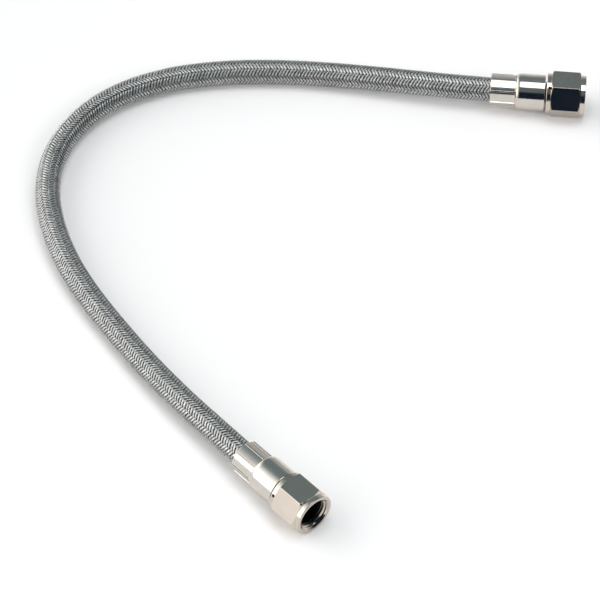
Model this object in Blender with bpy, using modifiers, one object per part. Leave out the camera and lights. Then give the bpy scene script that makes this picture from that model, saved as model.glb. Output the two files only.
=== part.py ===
"""Air compressor leader hose: a wire-braided hose with a crimped swivel nut at each end.

Metres, +Z up. The hose lies on the plane z = 0. End a points along +X and end b points
down and to the right of it, seen from above. The origin is on the plane, under the middle
of the box that holds both end fittings.
"""

import math

import bmesh
import bpy
from mathutils import Vector

# Hose
HOSE_OD = 0.0124
BRAID_WALL = 0.0009
LINER_WALL = 0.0008
PIECE_GAP = 0.0003
HOSE_SIDES_RESOLUTION = 4
POINT_SPACING = 2.0 * HOSE_OD
RISE_LENGTH = 0.110
LYING_CLEARANCE = 0.00005

# Crimp collar
COLLAR_CRIMP_LENGTH = 0.0140
COLLAR_ROUND_LENGTH = 0.0134
COLLAR_OD = 0.0185
CRIMP_BLANK_OD = 0.0166
CRIMP_ACROSS_FLATS = 0.0153
CRIMP_FLATS = 8
CRIMP_RIDGE_WIDTH = 0.0008
COLLAR_STEP_LENGTH = 0.0010
COLLAR_LIP_LENGTH = 0.0030
COLLAR_EDGE = 0.0004

# Hose tail
TAIL_BORE = 0.0052
TAIL_STEM_INSET = 0.0015
TAIL_GROOVE_DEPTH = 0.0013
TAIL_NECK_OD = 0.0118
TAIL_BARBS = 4
BARB_DEPTH = 0.0004
BARB_TAPER_SHARE = 0.7
HOSE_INSERTION = 0.0190
SEAT_EDGE = 0.0007
TAIL_HEAD_PAST_SHOULDER = 0.0030

# Swivel nut
NUT_ACROSS_FLATS = 0.0206
NUT_REAR_SHOULDER = 0.0022
NUT_HEX_LENGTH = 0.0150
NUT_FRONT_SHOULDER = 0.0024
NUT_SHOULDER_STEP = 0.0001
NUT_CHAMFER_ANGLE = math.radians(30.0)
NUT_EDGE = 0.0003
NUT_REAR_LAND = 0.0060
THREAD_MINOR_D = 0.0144
THREAD_MAJOR_D = 0.0159
THREAD_RELIEF_LENGTH = 0.0020
MOUTH_D = 0.0174
SWIVEL_GAP = 0.0008

# Thrust wire
WIRE_D = 0.0012
WIRE_FROM_NUT_REAR = 0.0015
WIRE_OPEN_ANGLE = math.radians(20.0)
WIRE_POINTS = 40
LOADING_HOLE_D = 0.0016

# Placement of the two ends on the plane
END_A_RIM = (0.0277, 0.1386)
END_A_HEADING = math.radians(0.0)
END_A_CRIMP_TURN = math.radians(6.0)
END_A_HOLE_TURN = math.radians(30.0)
END_B_RIM = (-0.0702, -0.1112)
END_B_HEADING = math.radians(-41.8)
END_B_CRIMP_TURN = math.radians(-6.0)
END_B_HOLE_TURN = math.radians(60.0)

# Route of the hose's middle line between the two collars, from end b to end a
ROUTE = [
    (-0.0865, -0.0957),
    (-0.0979, -0.0845),
    (-0.1087, -0.0731),
    (-0.1194, -0.0612),
    (-0.1299, -0.0488),
    (-0.1402, -0.0361),
    (-0.1499, -0.0238),
    (-0.1592, -0.0109),
    (-0.1678, 0.0029),
    (-0.1750, 0.0173),
    (-0.1807, 0.0321),
    (-0.1846, 0.0475),
    (-0.1859, 0.0639),
    (-0.1839, 0.0799),
    (-0.1787, 0.0945),
    (-0.1701, 0.1085),
    (-0.1587, 0.1200),
    (-0.1457, 0.1286),
    (-0.1307, 0.1354),
    (-0.1152, 0.1399),
    (-0.0993, 0.1429),
    (-0.0833, 0.1446),
    (-0.0679, 0.1452),
    (-0.0516, 0.1447),
    (-0.0353, 0.1435),
    (-0.0198, 0.1420),
    (-0.0036, 0.1404),
    (0.0125, 0.1392),
]

# Sizes worked out from those above
HOSE_R = HOSE_OD / 2
LYING_HEIGHT = HOSE_R + LYING_CLEARANCE
AXIS_HEIGHT = NUT_ACROSS_FLATS / 2
SIDE_COUNT = 4 + 2 * HOSE_SIDES_RESOLUTION
SIDE_HALF_ANGLE = math.pi / SIDE_COUNT
BRAID_INNER_R = HOSE_R - BRAID_WALL / math.cos(SIDE_HALF_ANGLE)
LINER_R = BRAID_INNER_R - PIECE_GAP
LINER_BORE_R = LINER_R * math.cos(SIDE_HALF_ANGLE) - LINER_WALL
BARB_R = LINER_BORE_R - PIECE_GAP
COLLAR_LENGTH = COLLAR_CRIMP_LENGTH + COLLAR_ROUND_LENGTH
COLLAR_BORE_R = HOSE_R + PIECE_GAP
LIP_START = COLLAR_LENGTH - COLLAR_LIP_LENGTH
NECK_R = TAIL_NECK_OD / 2
GROOVE_R = NECK_R - TAIL_GROOVE_DEPTH
LIP_BORE_R = GROOVE_R + PIECE_GAP
NUT_REAR = COLLAR_LENGTH + SWIVEL_GAP
NUT_LENGTH = NUT_REAR_SHOULDER + NUT_HEX_LENGTH + NUT_FRONT_SHOULDER
NUT_SHOULDER_OD = NUT_ACROSS_FLATS - 2 * NUT_SHOULDER_STEP
LAND_END = NUT_REAR + NUT_REAR_LAND
LAND_R = NECK_R + PIECE_GAP
TAIL_FRONT = LAND_END + TAIL_HEAD_PAST_SHOULDER
WIRE_PLACE = NUT_REAR + WIRE_FROM_NUT_REAR
WIRE_RING_R = (NECK_R + LAND_R) / 2
WIRE_CHANNEL_R = WIRE_D / 2 + PIECE_GAP

# How finely the shapes are drawn
CURVE_STEPS = 12
ROUND_STEPS = 48
INNER_STEPS = 32
HOLE_SIDES = 16
CHANNEL_POINTS = 6

# How far a cutter reaches past what it cuts
CUT_MARGIN = 0.002


def clear_scene():
    for old in list(bpy.data.objects):
        bpy.data.objects.remove(old, do_unlink=True)


def new_collection(name):
    collection = bpy.data.collections.new(name)
    bpy.context.scene.collection.children.link(collection)
    return collection


def new_material(name, colour, roughness, metallic):
    material = bpy.data.materials.new(name)
    material.use_nodes = True
    shader = material.node_tree.nodes["Principled BSDF"]
    shader.inputs["Base Color"].default_value = (*colour, 1.0)
    shader.inputs["Roughness"].default_value = roughness
    shader.inputs["Metallic"].default_value = metallic
    return material


def make_object(name, data, collection, parent=None, material=None):
    piece = bpy.data.objects.new(name, data)
    collection.objects.link(piece)
    piece.parent = parent
    if material is not None:
        data.materials.append(material)
    return piece


def make_cutter(piece):
    piece.hide_render = True
    piece.display_type = "WIRE"
    return piece


def turned(name, outline, steps, collection, parent, material=None, closed=True):
    """Turn an outline of (radius, height) points about local Z; a closed outline makes a ring."""
    mesh = bpy.data.meshes.new(name)
    points = [(radius, 0.0, height) for radius, height in outline]
    edges = [(i, i + 1) for i in range(len(points) - 1)]
    if closed:
        edges.append((len(points) - 1, 0))
    mesh.from_pydata(points, edges, [])
    piece = make_object(name, mesh, collection, parent, material)
    screw = piece.modifiers.new("turning", "SCREW")
    screw.axis = "Z"
    screw.steps = steps
    screw.render_steps = steps
    screw.use_merge_vertices = True
    screw.merge_threshold = 0.00001
    screw.use_smooth_shade = True
    return piece


def prism(name, sides, radius, start, end, collection, parent, material=None):
    """A straight prism or cylinder about local Z, from start to end."""
    mesh = bpy.data.meshes.new(name)
    shape = bmesh.new()
    bmesh.ops.create_cone(
        shape, cap_ends=True, segments=sides, radius1=radius, radius2=radius, depth=end - start)
    bmesh.ops.translate(shape, verts=shape.verts, vec=(0.0, 0.0, (start + end) / 2))
    shape.to_mesh(mesh)
    shape.free()
    return make_object(name, mesh, collection, parent, material)


def combine(piece, other, operation):
    boolean = piece.modifiers.new(other.name, "BOOLEAN")
    boolean.operation = operation
    boolean.solver = "EXACT"
    boolean.object = other


def smooth_curve(points, per_span):
    """Points along a Catmull-Rom curve through the given ones, end spans included."""
    padded = [points[0] * 2 - points[1]] + points + [points[-1] * 2 - points[-2]]
    curve = []
    for i in range(1, len(padded) - 2):
        before, start, end, after = padded[i - 1:i + 3]
        for k in range(per_span):
            t = k / per_span
            curve.append(0.5 * (
                2 * start
                + (end - before) * t
                + (2 * before - 5 * start + 4 * end - after) * t ** 2
                + (3 * start - before - 3 * end + after) * t ** 3))
    curve.append(points[-1])
    return curve


def along(points, spacing):
    """Points of a curve about the given spacing apart, both ends kept."""
    lengths = [0.0]
    for start, end in zip(points, points[1:]):
        lengths.append(lengths[-1] + (end - start).length)
    count = max(1, round(lengths[-1] / spacing))
    picked = []
    span = 0
    for k in range(count + 1):
        goal = lengths[-1] * k / count
        while span < len(points) - 2 and lengths[span + 1] < goal:
            span += 1
        share = (goal - lengths[span]) / (lengths[span + 1] - lengths[span])
        picked.append(points[span].lerp(points[span + 1], share))
    return picked


def axis_point(rim, heading, distance):
    """A point on an end's axis, at a distance in front of its collar's rear rim."""
    return Vector((
        rim[0] + distance * math.cos(heading),
        rim[1] + distance * math.sin(heading),
        AXIS_HEIGHT))


def lifted_route():
    """The route with its heights: on the plane, and rising to the fittings' axis at the ends."""
    start = axis_point(END_B_RIM, END_B_HEADING, 0.0)
    end = axis_point(END_A_RIM, END_A_HEADING, 0.0)
    points = [start] + [Vector((x, y, 0.0)) for x, y in ROUTE] + [end]
    flat = [Vector((p.x, p.y)) for p in points]
    lengths = [0.0]
    for before, after in zip(flat, flat[1:]):
        lengths.append(lengths[-1] + (after - before).length)
    for point, length in zip(points, lengths):
        nearest = min(length, lengths[-1] - length)
        rise = max(0.0, 1.0 - nearest / RISE_LENGTH)
        share = rise * rise * (3.0 - 2.0 * rise)
        point.z = LYING_HEIGHT + (AXIS_HEIGHT - LYING_HEIGHT) * share
    return points


def hose_line():
    """The middle line of the hose: straight inside each collar, a smooth curve between them."""
    free = along(smooth_curve(lifted_route(), CURVE_STEPS), POINT_SPACING)
    start = axis_point(END_B_RIM, END_B_HEADING, HOSE_INSERTION)
    end = axis_point(END_A_RIM, END_A_HEADING, HOSE_INSERTION)
    return [start] + free + [end]


def hose_tube(name, line, radius, wall, collection, material):
    """An open tube along the line, given its wall inwards."""
    curve = bpy.data.curves.new(name, "CURVE")
    curve.dimensions = "3D"
    curve.twist_mode = "Z_UP"
    curve.bevel_depth = radius
    curve.bevel_resolution = HOSE_SIDES_RESOLUTION
    curve.use_fill_caps = False
    spline = curve.splines.new("POLY")
    spline.points.add(len(line) - 1)
    for point, place in zip(spline.points, line):
        point.co = (*place, 1.0)
    piece = make_object(name, curve, collection, None, material)
    shell = piece.modifiers.new("wall", "SOLIDIFY")
    shell.thickness = wall
    shell.offset = -1.0
    shell.use_even_offset = True
    shell.use_rim = True
    return piece


def fitting_axis(name, rim, heading, collection):
    """An empty at a collar's rear rim whose Z points out along the end's axis; its X is down."""
    empty = bpy.data.objects.new(name, None)
    collection.objects.link(empty)
    empty.location = axis_point(rim, heading, 0.0)
    empty.rotation_euler = (0.0, math.pi / 2, heading)
    empty.empty_display_size = COLLAR_LENGTH
    return empty


def crimp_jaws(name, collection, parent):
    """Eight blocks that press the flats into the collar's rear part."""
    flat = CRIMP_ACROSS_FLATS / 2
    depth = COLLAR_OD / 2 - flat + CUT_MARGIN
    width = 2 * flat * math.tan(math.pi / CRIMP_FLATS) - CRIMP_RIDGE_WIDTH
    length = COLLAR_CRIMP_LENGTH - COLLAR_STEP_LENGTH + CUT_MARGIN
    mesh = bpy.data.meshes.new(name)
    shape = bmesh.new()
    for i in range(CRIMP_FLATS):
        block = bmesh.ops.create_cube(shape, size=1.0)["verts"]
        bmesh.ops.scale(shape, verts=block, vec=(depth, width, length))
        bmesh.ops.translate(
            shape, verts=block, vec=(flat + depth / 2, 0.0, length / 2 - CUT_MARGIN))
        turn = 2 * math.pi * (i + 0.5) / CRIMP_FLATS
        for vert in block:
            x, y = vert.co.x, vert.co.y
            vert.co.x = x * math.cos(turn) - y * math.sin(turn)
            vert.co.y = x * math.sin(turn) + y * math.cos(turn)
    shape.to_mesh(mesh)
    shape.free()
    return make_cutter(make_object(name, mesh, collection, parent))


def crimp_collar(name, turn, parts, cutters, parent, material):
    blank = CRIMP_BLANK_OD / 2
    outer = COLLAR_OD / 2
    outline = [
        (outer - COLLAR_EDGE, COLLAR_LENGTH),
        (outer, COLLAR_LENGTH - COLLAR_EDGE),
        (outer, COLLAR_CRIMP_LENGTH),
        (blank, COLLAR_CRIMP_LENGTH - COLLAR_STEP_LENGTH),
        (blank, COLLAR_EDGE),
        (blank - COLLAR_EDGE, 0.0),
        (COLLAR_BORE_R, 0.0),
        (COLLAR_BORE_R, LIP_START),
        (LIP_BORE_R, LIP_START),
        (LIP_BORE_R, COLLAR_LENGTH),
    ]
    collar = turned(name, outline, ROUND_STEPS, parts, parent, material)
    jaws = crimp_jaws(name + "_jaws", cutters, parent)
    jaws.rotation_euler = (0.0, 0.0, turn)
    combine(collar, jaws, "DIFFERENCE")
    return collar


def channel(centre_r, centre_z, radius, inwards):
    """Half-round channel points from front to rear; inwards cuts towards the axis."""
    sign = -1.0 if inwards else 1.0
    points = []
    for k in range(CHANNEL_POINTS + 1):
        angle = math.pi * k / CHANNEL_POINTS
        points.append((
            centre_r + sign * radius * math.sin(angle),
            centre_z + radius * math.cos(angle)))
    return points


def hose_tail(name, parts, parent, material):
    """Barbed stem, collar groove, neck with its half of the wire channel, and conical seat."""
    bore = TAIL_BORE / 2
    stem_end = HOSE_INSERTION + PIECE_GAP
    barb_pitch = (stem_end - TAIL_STEM_INSET) / (TAIL_BARBS + 1)
    seat_r = NECK_R - SEAT_EDGE
    outline = [(seat_r, TAIL_FRONT), (NECK_R, TAIL_FRONT - SEAT_EDGE / 2)]
    outline += channel(NECK_R, WIRE_PLACE, WIRE_CHANNEL_R - PIECE_GAP / 2, True)
    outline += [
        (NECK_R, COLLAR_LENGTH + PIECE_GAP),
        (GROOVE_R, COLLAR_LENGTH + PIECE_GAP),
        (GROOVE_R, LIP_START - PIECE_GAP),
        (NECK_R, LIP_START - PIECE_GAP),
        (NECK_R, stem_end),
        (BARB_R - BARB_DEPTH, stem_end),
    ]
    for i in range(TAIL_BARBS, 0, -1):
        top = TAIL_STEM_INSET + barb_pitch * i
        outline += [
            (BARB_R - BARB_DEPTH, top),
            (BARB_R, top - BARB_DEPTH / 2),
            (BARB_R - BARB_DEPTH, top - barb_pitch * BARB_TAPER_SHARE),
        ]
    outline += [
        (bore, TAIL_STEM_INSET),
        (bore, TAIL_FRONT - (seat_r - bore)),
    ]
    return turned(name, outline, INNER_STEPS, parts, parent, material)


def thrust_wire(name, parts, parent, material):
    """The wire ring between neck and nut, left open a little where its ends meet."""
    curve = bpy.data.curves.new(name, "CURVE")
    curve.dimensions = "3D"
    curve.bevel_depth = WIRE_D / 2
    curve.bevel_resolution = 2
    curve.use_fill_caps = True
    spline = curve.splines.new("POLY")
    spline.points.add(WIRE_POINTS - 1)
    sweep = 2 * math.pi - WIRE_OPEN_ANGLE
    for i, point in enumerate(spline.points):
        angle = WIRE_OPEN_ANGLE / 2 + sweep * i / (WIRE_POINTS - 1)
        point.co = (
            WIRE_RING_R * math.cos(angle), WIRE_RING_R * math.sin(angle), WIRE_PLACE, 1.0)
    return make_object(name, curve, parts, parent, material)


def nut_envelope(name, collection, parent):
    """The turned body that chamfers the hexagon's corners at both of its ends."""
    rear = NUT_REAR_SHOULDER
    front = rear + NUT_HEX_LENGTH
    edge = NUT_SHOULDER_OD / 2
    corner = NUT_ACROSS_FLATS / 2 / math.cos(math.pi / 6) + CUT_MARGIN
    drop = (corner - edge) * math.tan(NUT_CHAMFER_ANGLE)
    outline = [(0.0, front), (edge, front), (corner, front - drop)]
    outline += [(corner, rear + drop), (edge, rear), (0.0, rear)]
    return make_cutter(turned(name, outline, ROUND_STEPS, collection, parent, closed=False))


def nut_barrel(name, collection, parent):
    """The round shoulders at both ends of the nut, as one turned bar."""
    edge = NUT_SHOULDER_OD / 2
    outline = [
        (0.0, NUT_LENGTH),
        (edge - NUT_EDGE, NUT_LENGTH),
        (edge, NUT_LENGTH - NUT_EDGE),
        (edge, NUT_EDGE),
        (edge - NUT_EDGE, 0.0),
        (0.0, 0.0),
    ]
    return make_cutter(turned(name, outline, ROUND_STEPS, collection, parent, closed=False))


def nut_bore(name, collection, parent):
    """What is bored out of the nut: mouth, thread, relief, land and its half of the channel."""
    minor = THREAD_MINOR_D / 2
    relief = THREAD_MAJOR_D / 2 + PIECE_GAP
    mouth = MOUTH_D / 2
    land_end = NUT_REAR_LAND
    outline = [
        (0.0, NUT_LENGTH + CUT_MARGIN),
        (mouth + CUT_MARGIN, NUT_LENGTH + CUT_MARGIN),
        (minor, NUT_LENGTH - (mouth - minor)),
        (minor, land_end + THREAD_RELIEF_LENGTH),
        (relief, land_end + THREAD_RELIEF_LENGTH),
        (relief, land_end),
        (LAND_R, land_end),
    ]
    outline += channel(LAND_R, WIRE_FROM_NUT_REAR, WIRE_CHANNEL_R - PIECE_GAP / 2, False)
    outline += [(LAND_R, -CUT_MARGIN), (0.0, -CUT_MARGIN)]
    return make_cutter(turned(name, outline, ROUND_STEPS, collection, parent, closed=False))


def loading_hole(name, turn, collection, parent):
    """The hole in the rear shoulder through which the thrust wire is fed."""
    start = WIRE_RING_R
    end = NUT_SHOULDER_OD / 2 + CUT_MARGIN
    hole = prism(name, HOLE_SIDES, LOADING_HOLE_D / 2, start, end, collection, parent)
    hole.location = (0.0, 0.0, WIRE_FROM_NUT_REAR)
    hole.rotation_euler = (0.0, -math.pi / 2, turn)
    return make_cutter(hole)


def swivel_nut(name, hole_turn, parts, cutters, parent, material):
    seat = bpy.data.objects.new(name + "_axis", None)
    parts.objects.link(seat)
    seat.parent = parent
    seat.location = (0.0, 0.0, NUT_REAR)
    radius = NUT_ACROSS_FLATS / 2 / math.cos(math.pi / 6)
    hex_end = NUT_REAR_SHOULDER + NUT_HEX_LENGTH
    nut = prism(name, 6, radius, NUT_REAR_SHOULDER, hex_end, parts, seat, material)
    combine(nut, nut_envelope(name + "_chamfers", cutters, seat), "INTERSECT")
    combine(nut, nut_barrel(name + "_shoulders", cutters, seat), "UNION")
    combine(nut, nut_bore(name + "_bore", cutters, seat), "DIFFERENCE")
    combine(nut, loading_hole(name + "_loading_hole", hole_turn, cutters, seat), "DIFFERENCE")
    return nut


def build():
    clear_scene()
    parts = new_collection("leader_hose")
    cutters = new_collection("cutters")
    braid_steel = new_material("braided_stainless", (0.42, 0.43, 0.43), 0.38, 1.0)
    plated = new_material("nickel_plated_steel", (0.62, 0.60, 0.57), 0.12, 1.0)
    plated_nut = new_material("nickel_plated_nut", (0.58, 0.57, 0.54), 0.16, 1.0)
    tail_metal = new_material("plated_tail", (0.50, 0.49, 0.46), 0.25, 1.0)
    spring_steel = new_material("spring_wire", (0.35, 0.35, 0.35), 0.30, 1.0)
    liner_plastic = new_material("liner_plastic", (0.80, 0.80, 0.78), 0.45, 0.0)

    line = hose_line()
    hose_tube("wire_braid", line, HOSE_R, BRAID_WALL, parts, braid_steel)
    hose_tube("liner_tube", line, LINER_R, LINER_WALL, parts, liner_plastic)

    ends = [
        ("a", END_A_RIM, END_A_HEADING, END_A_CRIMP_TURN, END_A_HOLE_TURN),
        ("b", END_B_RIM, END_B_HEADING, END_B_CRIMP_TURN, END_B_HOLE_TURN),
    ]
    for end, rim, heading, crimp_turn, hole_turn in ends:
        axis = fitting_axis("fitting_axis_" + end, rim, heading, parts)
        crimp_collar("crimp_collar_" + end, crimp_turn, parts, cutters, axis, plated)
        hose_tail("hose_tail_" + end, parts, axis, tail_metal)
        thrust_wire("thrust_wire_" + end, parts, axis, spring_steel)
        swivel_nut("swivel_nut_" + end, hole_turn, parts, cutters, axis, plated_nut)
    bpy.context.view_layer.update()


build()
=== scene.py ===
"""Looks of the air compressor leader hose: steel braid, crimped collars and swivel nuts."""

from functools import partial
from math import acos, atan2, cos, pi, radians, sin, sqrt, tan

import bmesh
import bpy
import numpy as np
from bpy.props import FloatProperty, FloatVectorProperty, IntProperty, PointerProperty
from bpy.types import Operator, Panel, PropertyGroup
from mathutils import Matrix, Vector


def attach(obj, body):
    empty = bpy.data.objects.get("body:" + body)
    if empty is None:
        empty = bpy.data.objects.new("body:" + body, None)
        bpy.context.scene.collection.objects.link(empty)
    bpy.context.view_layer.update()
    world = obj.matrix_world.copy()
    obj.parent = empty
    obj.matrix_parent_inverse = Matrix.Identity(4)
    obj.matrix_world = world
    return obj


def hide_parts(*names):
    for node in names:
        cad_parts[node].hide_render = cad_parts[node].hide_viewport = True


bl_info = {
    "name": "Air Compressor Leader Hose",
    "version": (1, 0, 0),
    "blender": (4, 5, 0),
    "location": "View3D > Sidebar > Leader Hose",
    "description": "Builds a wire-braided leader hose with a crimped swivel nut at each end",
    "category": "Add Mesh",
}

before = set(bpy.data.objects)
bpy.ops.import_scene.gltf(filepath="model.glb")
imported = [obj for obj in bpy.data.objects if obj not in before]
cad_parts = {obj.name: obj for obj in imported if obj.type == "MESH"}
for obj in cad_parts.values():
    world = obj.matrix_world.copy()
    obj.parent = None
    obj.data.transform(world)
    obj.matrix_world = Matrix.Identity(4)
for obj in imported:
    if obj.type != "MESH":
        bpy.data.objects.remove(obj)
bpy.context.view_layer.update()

# Sizes are in metres. The two ends: the collar's rear rim (x, y), its heading, and the nut's body
AXIS_HEIGHT = 0.0103
ENDS = {
    "a": {"rim": (0.0277, 0.1386), "heading": radians(0.0), "body": "nut_a"},
    "b": {"rim": (-0.0702, -0.1112), "heading": radians(-41.8), "body": "nut_b"},
}

# Middle line of the hose between the collars, from end b to end a, as on the CAD part
ROUTE = [
    (-0.0865, -0.0957), (-0.0979, -0.0845), (-0.1087, -0.0731), (-0.1194, -0.0612),
    (-0.1299, -0.0488), (-0.1402, -0.0361), (-0.1499, -0.0238), (-0.1592, -0.0109),
    (-0.1678, 0.0029), (-0.1750, 0.0173), (-0.1807, 0.0321), (-0.1846, 0.0475),
    (-0.1859, 0.0639), (-0.1839, 0.0799), (-0.1787, 0.0945), (-0.1701, 0.1085),
    (-0.1587, 0.1200), (-0.1457, 0.1286), (-0.1307, 0.1354), (-0.1152, 0.1399),
    (-0.0993, 0.1429), (-0.0833, 0.1446), (-0.0679, 0.1452), (-0.0516, 0.1447),
    (-0.0353, 0.1435), (-0.0198, 0.1420), (-0.0036, 0.1404), (0.0125, 0.1392),
]
LYING_HEIGHT = 0.00625  # of the middle line where the hose lies on the floor
RISE_LENGTH = 0.110  # in which it rises to a fitting's axis
HOSE_INSERTION = 0.0190  # of the hose in each collar

# How finely the hose is drawn
CENTRELINE_STEP = 0.0005
SPAN_STEPS = 24
STRAND_COLUMNS = 7
ROWS_PER_CROSSING = 2
LINER_STRIDE = 6  # steps of the middle line
LINER_COLUMNS = 24

# How steeply a strand changes between over and under, 1 is a plain wave, and how long the
# waves are in which it strays
WEAVE_STEEPNESS = 1.9
WANDER_LENGTHS = (0.011, 0.027)

# Collar: degrees from a flat's middle, and millimetres from the rear and from the front rim,
# at which it has points; then the ridge's foot and slope, and the step up to the round part
FLAT_COLUMNS = [0, 5, 10, 14, 17, 18.6, 19.3, 19.7, 20.1, 20.5, 20.9, 21.3, 21.8]
REAR_ROWS = [
    0, 0.02, 0.06, 0.12, 0.2, 0.3, 0.4, 1.0, 4, 8, 11, 12.0, 12.4, 12.6, 12.75, 12.9, 13.0,
    13.02, 13.06, 13.1, 13.2, 13.35, 13.5, 13.7, 13.9, 14.1, 14.4, 14.7, 15, 15.4, 16, 20, 24,
    26.4]
FRONT_ROWS = [0.4, 0.3, 0.2, 0.12, 0.06, 0.02, 0.0]
RIDGE_FOOT = radians(19.9)
RIDGE_SLOPE = radians(1.0)
DOME_START, DOME_LENGTH = 0.0010, 0.0024
FLATS_END, FLATS_FADE = 0.0016, 0.0008
LIP_CHAMFER, BORE_CHAMFER = 0.0002, 0.0003

# Tail and thrust wire
PIECE_GAP = 0.0003
WIRE_CHANNEL = 0.00075  # radius
HALFWAY = 0.7  # of it, each way, to the points at 45 degrees
SEAT_CHAMFER = 0.0007
STEM_START = 0.0015
BARB_DEPTH, BARB_LAND, BARB_RIM = 0.0004, 0.0002, 0.00005
BARB_SLOPE = 0.7  # of the barbs' pitch

# Nut: degrees from a flat's middle at which the hexagon has points, and small sizes
HEXAGON_COLUMNS = [0, 6, 12, 18, 23, 26.5, 28.5, 29.2, 29.4, 29.6, 29.8, 30.0]
CHAMFER_EDGE = 0.00008
SHOULDER_FOOT = 0.0002
RELIEF_DEPTH = 0.0003
DRILL_STOP = 0.0002
RIM, NECK_RIM = 0.0001, 0.0002
BRIGHT_THREAD, DARK_THREAD = 0.0012, 0.0046  # from the mouth inwards, where the painted shade inside the nut starts and where it is full
TAIL_COLUMNS, BORE_COLUMNS, RING_COLUMNS, DRILL_SIDES = 64, 96, 144, 40

# Stage
FLOOR_REACH = 3.0
OVERHEAD_PLACE, OVERHEAD_SIZE = (0.20, 0.14, 2.0), (1.3, 1.2)
FILL_PLACE, FILL_SIZE = (1.25, -1.3, 1.6), (1.3, 1.0)
WINDOW_GLOW = 1.4

# What the plating mirrors: a shade's name, then the axis, the span on it over which one shade
# turns into another, and those two, each a colour or a shade's name
STUDIO_SHADES = (
    ("behind", 2, 0.12, 0.55, "#cfcdca", "#7f8e93"),
    ("in front", 2, 0.58, 0.76, "#182535", "#6c787b"),
    ("walls", 1, -0.25, 0.3, "in front", "behind"),
    ("window", 0, -0.2, -0.85, "walls", "#fffefb"),
)


# Colour, nodes and meshes

def linear(hex_code):
    """An sRGB hex colour as linear red, green and blue."""
    values = [int(hex_code[i:i + 2], 16) / 255 for i in (1, 3, 5)]
    return tuple(v / 12.92 if v <= 0.04045 else ((v + 0.055) / 1.055) ** 2.4 for v in values)


def set_inputs(tree, node, values=None, links=None):
    """Set a node's inputs, or link them to an output or to the first output of a node."""
    for key, value in (values or {}).items():
        node.inputs[key].default_value = value
    for key, source in (links or {}).items():
        output = source.outputs[0] if isinstance(source, bpy.types.Node) else source
        tree.links.new(output, node.inputs[key])


def add_node(tree, kind, settings=None, values=None, links=None):
    """Add a shader node with its settings, input values and links."""
    node = tree.nodes.new("ShaderNode" + kind)
    for key, value in (settings or {}).items():
        setattr(node, key, value)
    set_inputs(tree, node, values, links)
    return node


def new_material(name):
    """A node material with a Principled shader; returns material, tree and shader."""
    material = bpy.data.materials.new(name)
    material.use_nodes = True
    tree = material.node_tree
    return material, tree, tree.nodes["Principled BSDF"]


def grid_mesh(name, rows, close_rows=False, close_columns=True, uv=None, lift=None):
    """A quad mesh from points in rows and columns."""
    count, width = rows.shape[:2]
    row_end = count if close_rows else count - 1
    column_end = width if close_columns else width - 1
    k, m = np.meshgrid(np.arange(row_end), np.arange(column_end), indexing="ij")
    here = k * width + m
    right = k * width + (m + 1) % width
    up = ((k + 1) % count) * width + m
    up_right = ((k + 1) % count) * width + (m + 1) % width
    faces = np.stack([here, right, up_right, up], axis=-1).reshape(-1, 4)
    mesh = bpy.data.meshes.new(name)
    mesh.from_pydata(rows.reshape(-1, 3).tolist(), [], faces.tolist())
    if uv is not None:
        corners = uv.reshape(-1, 2)[faces.reshape(-1)]
        layer = mesh.uv_layers.new(name="across_and_along")
        layer.data.foreach_set("uv", corners.reshape(-1))
    if lift is not None:
        heights = mesh.attributes.new("lift", "FLOAT", "POINT")
        heights.data.foreach_set("value", lift.reshape(-1))
    mesh.update()
    return mesh


def joined(name, meshes, merge=True):
    """Several meshes as one, where points that fall together can be merged."""
    shape = bmesh.new()
    for mesh in meshes:
        shape.from_mesh(mesh)
        bpy.data.meshes.remove(mesh)
    if merge:
        bmesh.ops.remove_doubles(shape, verts=shape.verts, dist=1e-7)
    result = bpy.data.meshes.new(name)
    shape.to_mesh(result)
    shape.free()
    return result


def smooth_faces(mesh, sharp_angle=None):
    """Shade all faces smooth, with edges sharper than an angle kept sharp."""
    mesh.polygons.foreach_set("use_smooth", [True] * len(mesh.polygons))
    if sharp_angle is not None:
        mesh.set_sharp_from_angle(angle=sharp_angle)


def outward(mesh):
    """Turn all faces outward."""
    shape = bmesh.new()
    shape.from_mesh(mesh)
    bmesh.ops.recalc_face_normals(shape, faces=shape.faces)
    shape.to_mesh(mesh)
    shape.free()


def place(mesh, material, body, matrix=None):
    """Show a mesh as a piece that rides on a body. One with a frame of its own is a machined
    piece, and its flat faces stay flat."""
    piece = bpy.data.objects.new(mesh.name, mesh)
    bpy.context.scene.collection.objects.link(piece)
    if matrix is not None:
        piece.matrix_world = matrix
        normals = piece.modifiers.new("flat faces stay flat", "WEIGHTED_NORMAL")
        normals.keep_sharp = True
    mesh.materials.append(material)
    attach(piece, body)
    return piece


def round_corner(before, corner, after, radius, steps=5):
    """Points that round one corner of an outline."""
    p, c, q = (np.array(v, dtype=float) for v in (before, corner, after))
    a = (p - c) / np.linalg.norm(p - c)
    b = (q - c) / np.linalg.norm(q - c)
    half = acos(max(-1.0, min(1.0, float(a @ b)))) / 2
    reach = radius / tan(half)
    middle = (a + b) / np.linalg.norm(a + b)
    centre = c + middle * radius / sin(half)
    start, end = c + a * reach, c + b * reach
    points = []
    for i in range(steps + 1):
        t = i / steps
        v = (start - centre) * (1 - t) + (end - centre) * t
        points.append(tuple(centre + v / np.linalg.norm(v) * radius))
    return points


def rounded_outline(points):
    """An outline of (radius, height, rounding) corners as (radius, height) points."""
    outline = []
    for i, (r, z, rounding) in enumerate(points):
        if rounding <= 0:
            outline.append((r, z))
            continue
        before, after = points[i - 1][:2], points[(i + 1) % len(points)][:2]
        outline += round_corner(before, (r, z), after, rounding)
    return outline


def ring(radius, angle, height):
    """One row of points round local Z."""
    return np.column_stack([
        radius * np.cos(angle), radius * np.sin(angle), np.broadcast_to(height, angle.shape)])


def turned_rows(outline, columns):
    """Rows of points for an outline turned about local Z."""
    angle = 2 * pi * np.arange(columns) / columns
    return np.array([ring(r, angle, z) for r, z in outline])


# Placement

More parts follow.
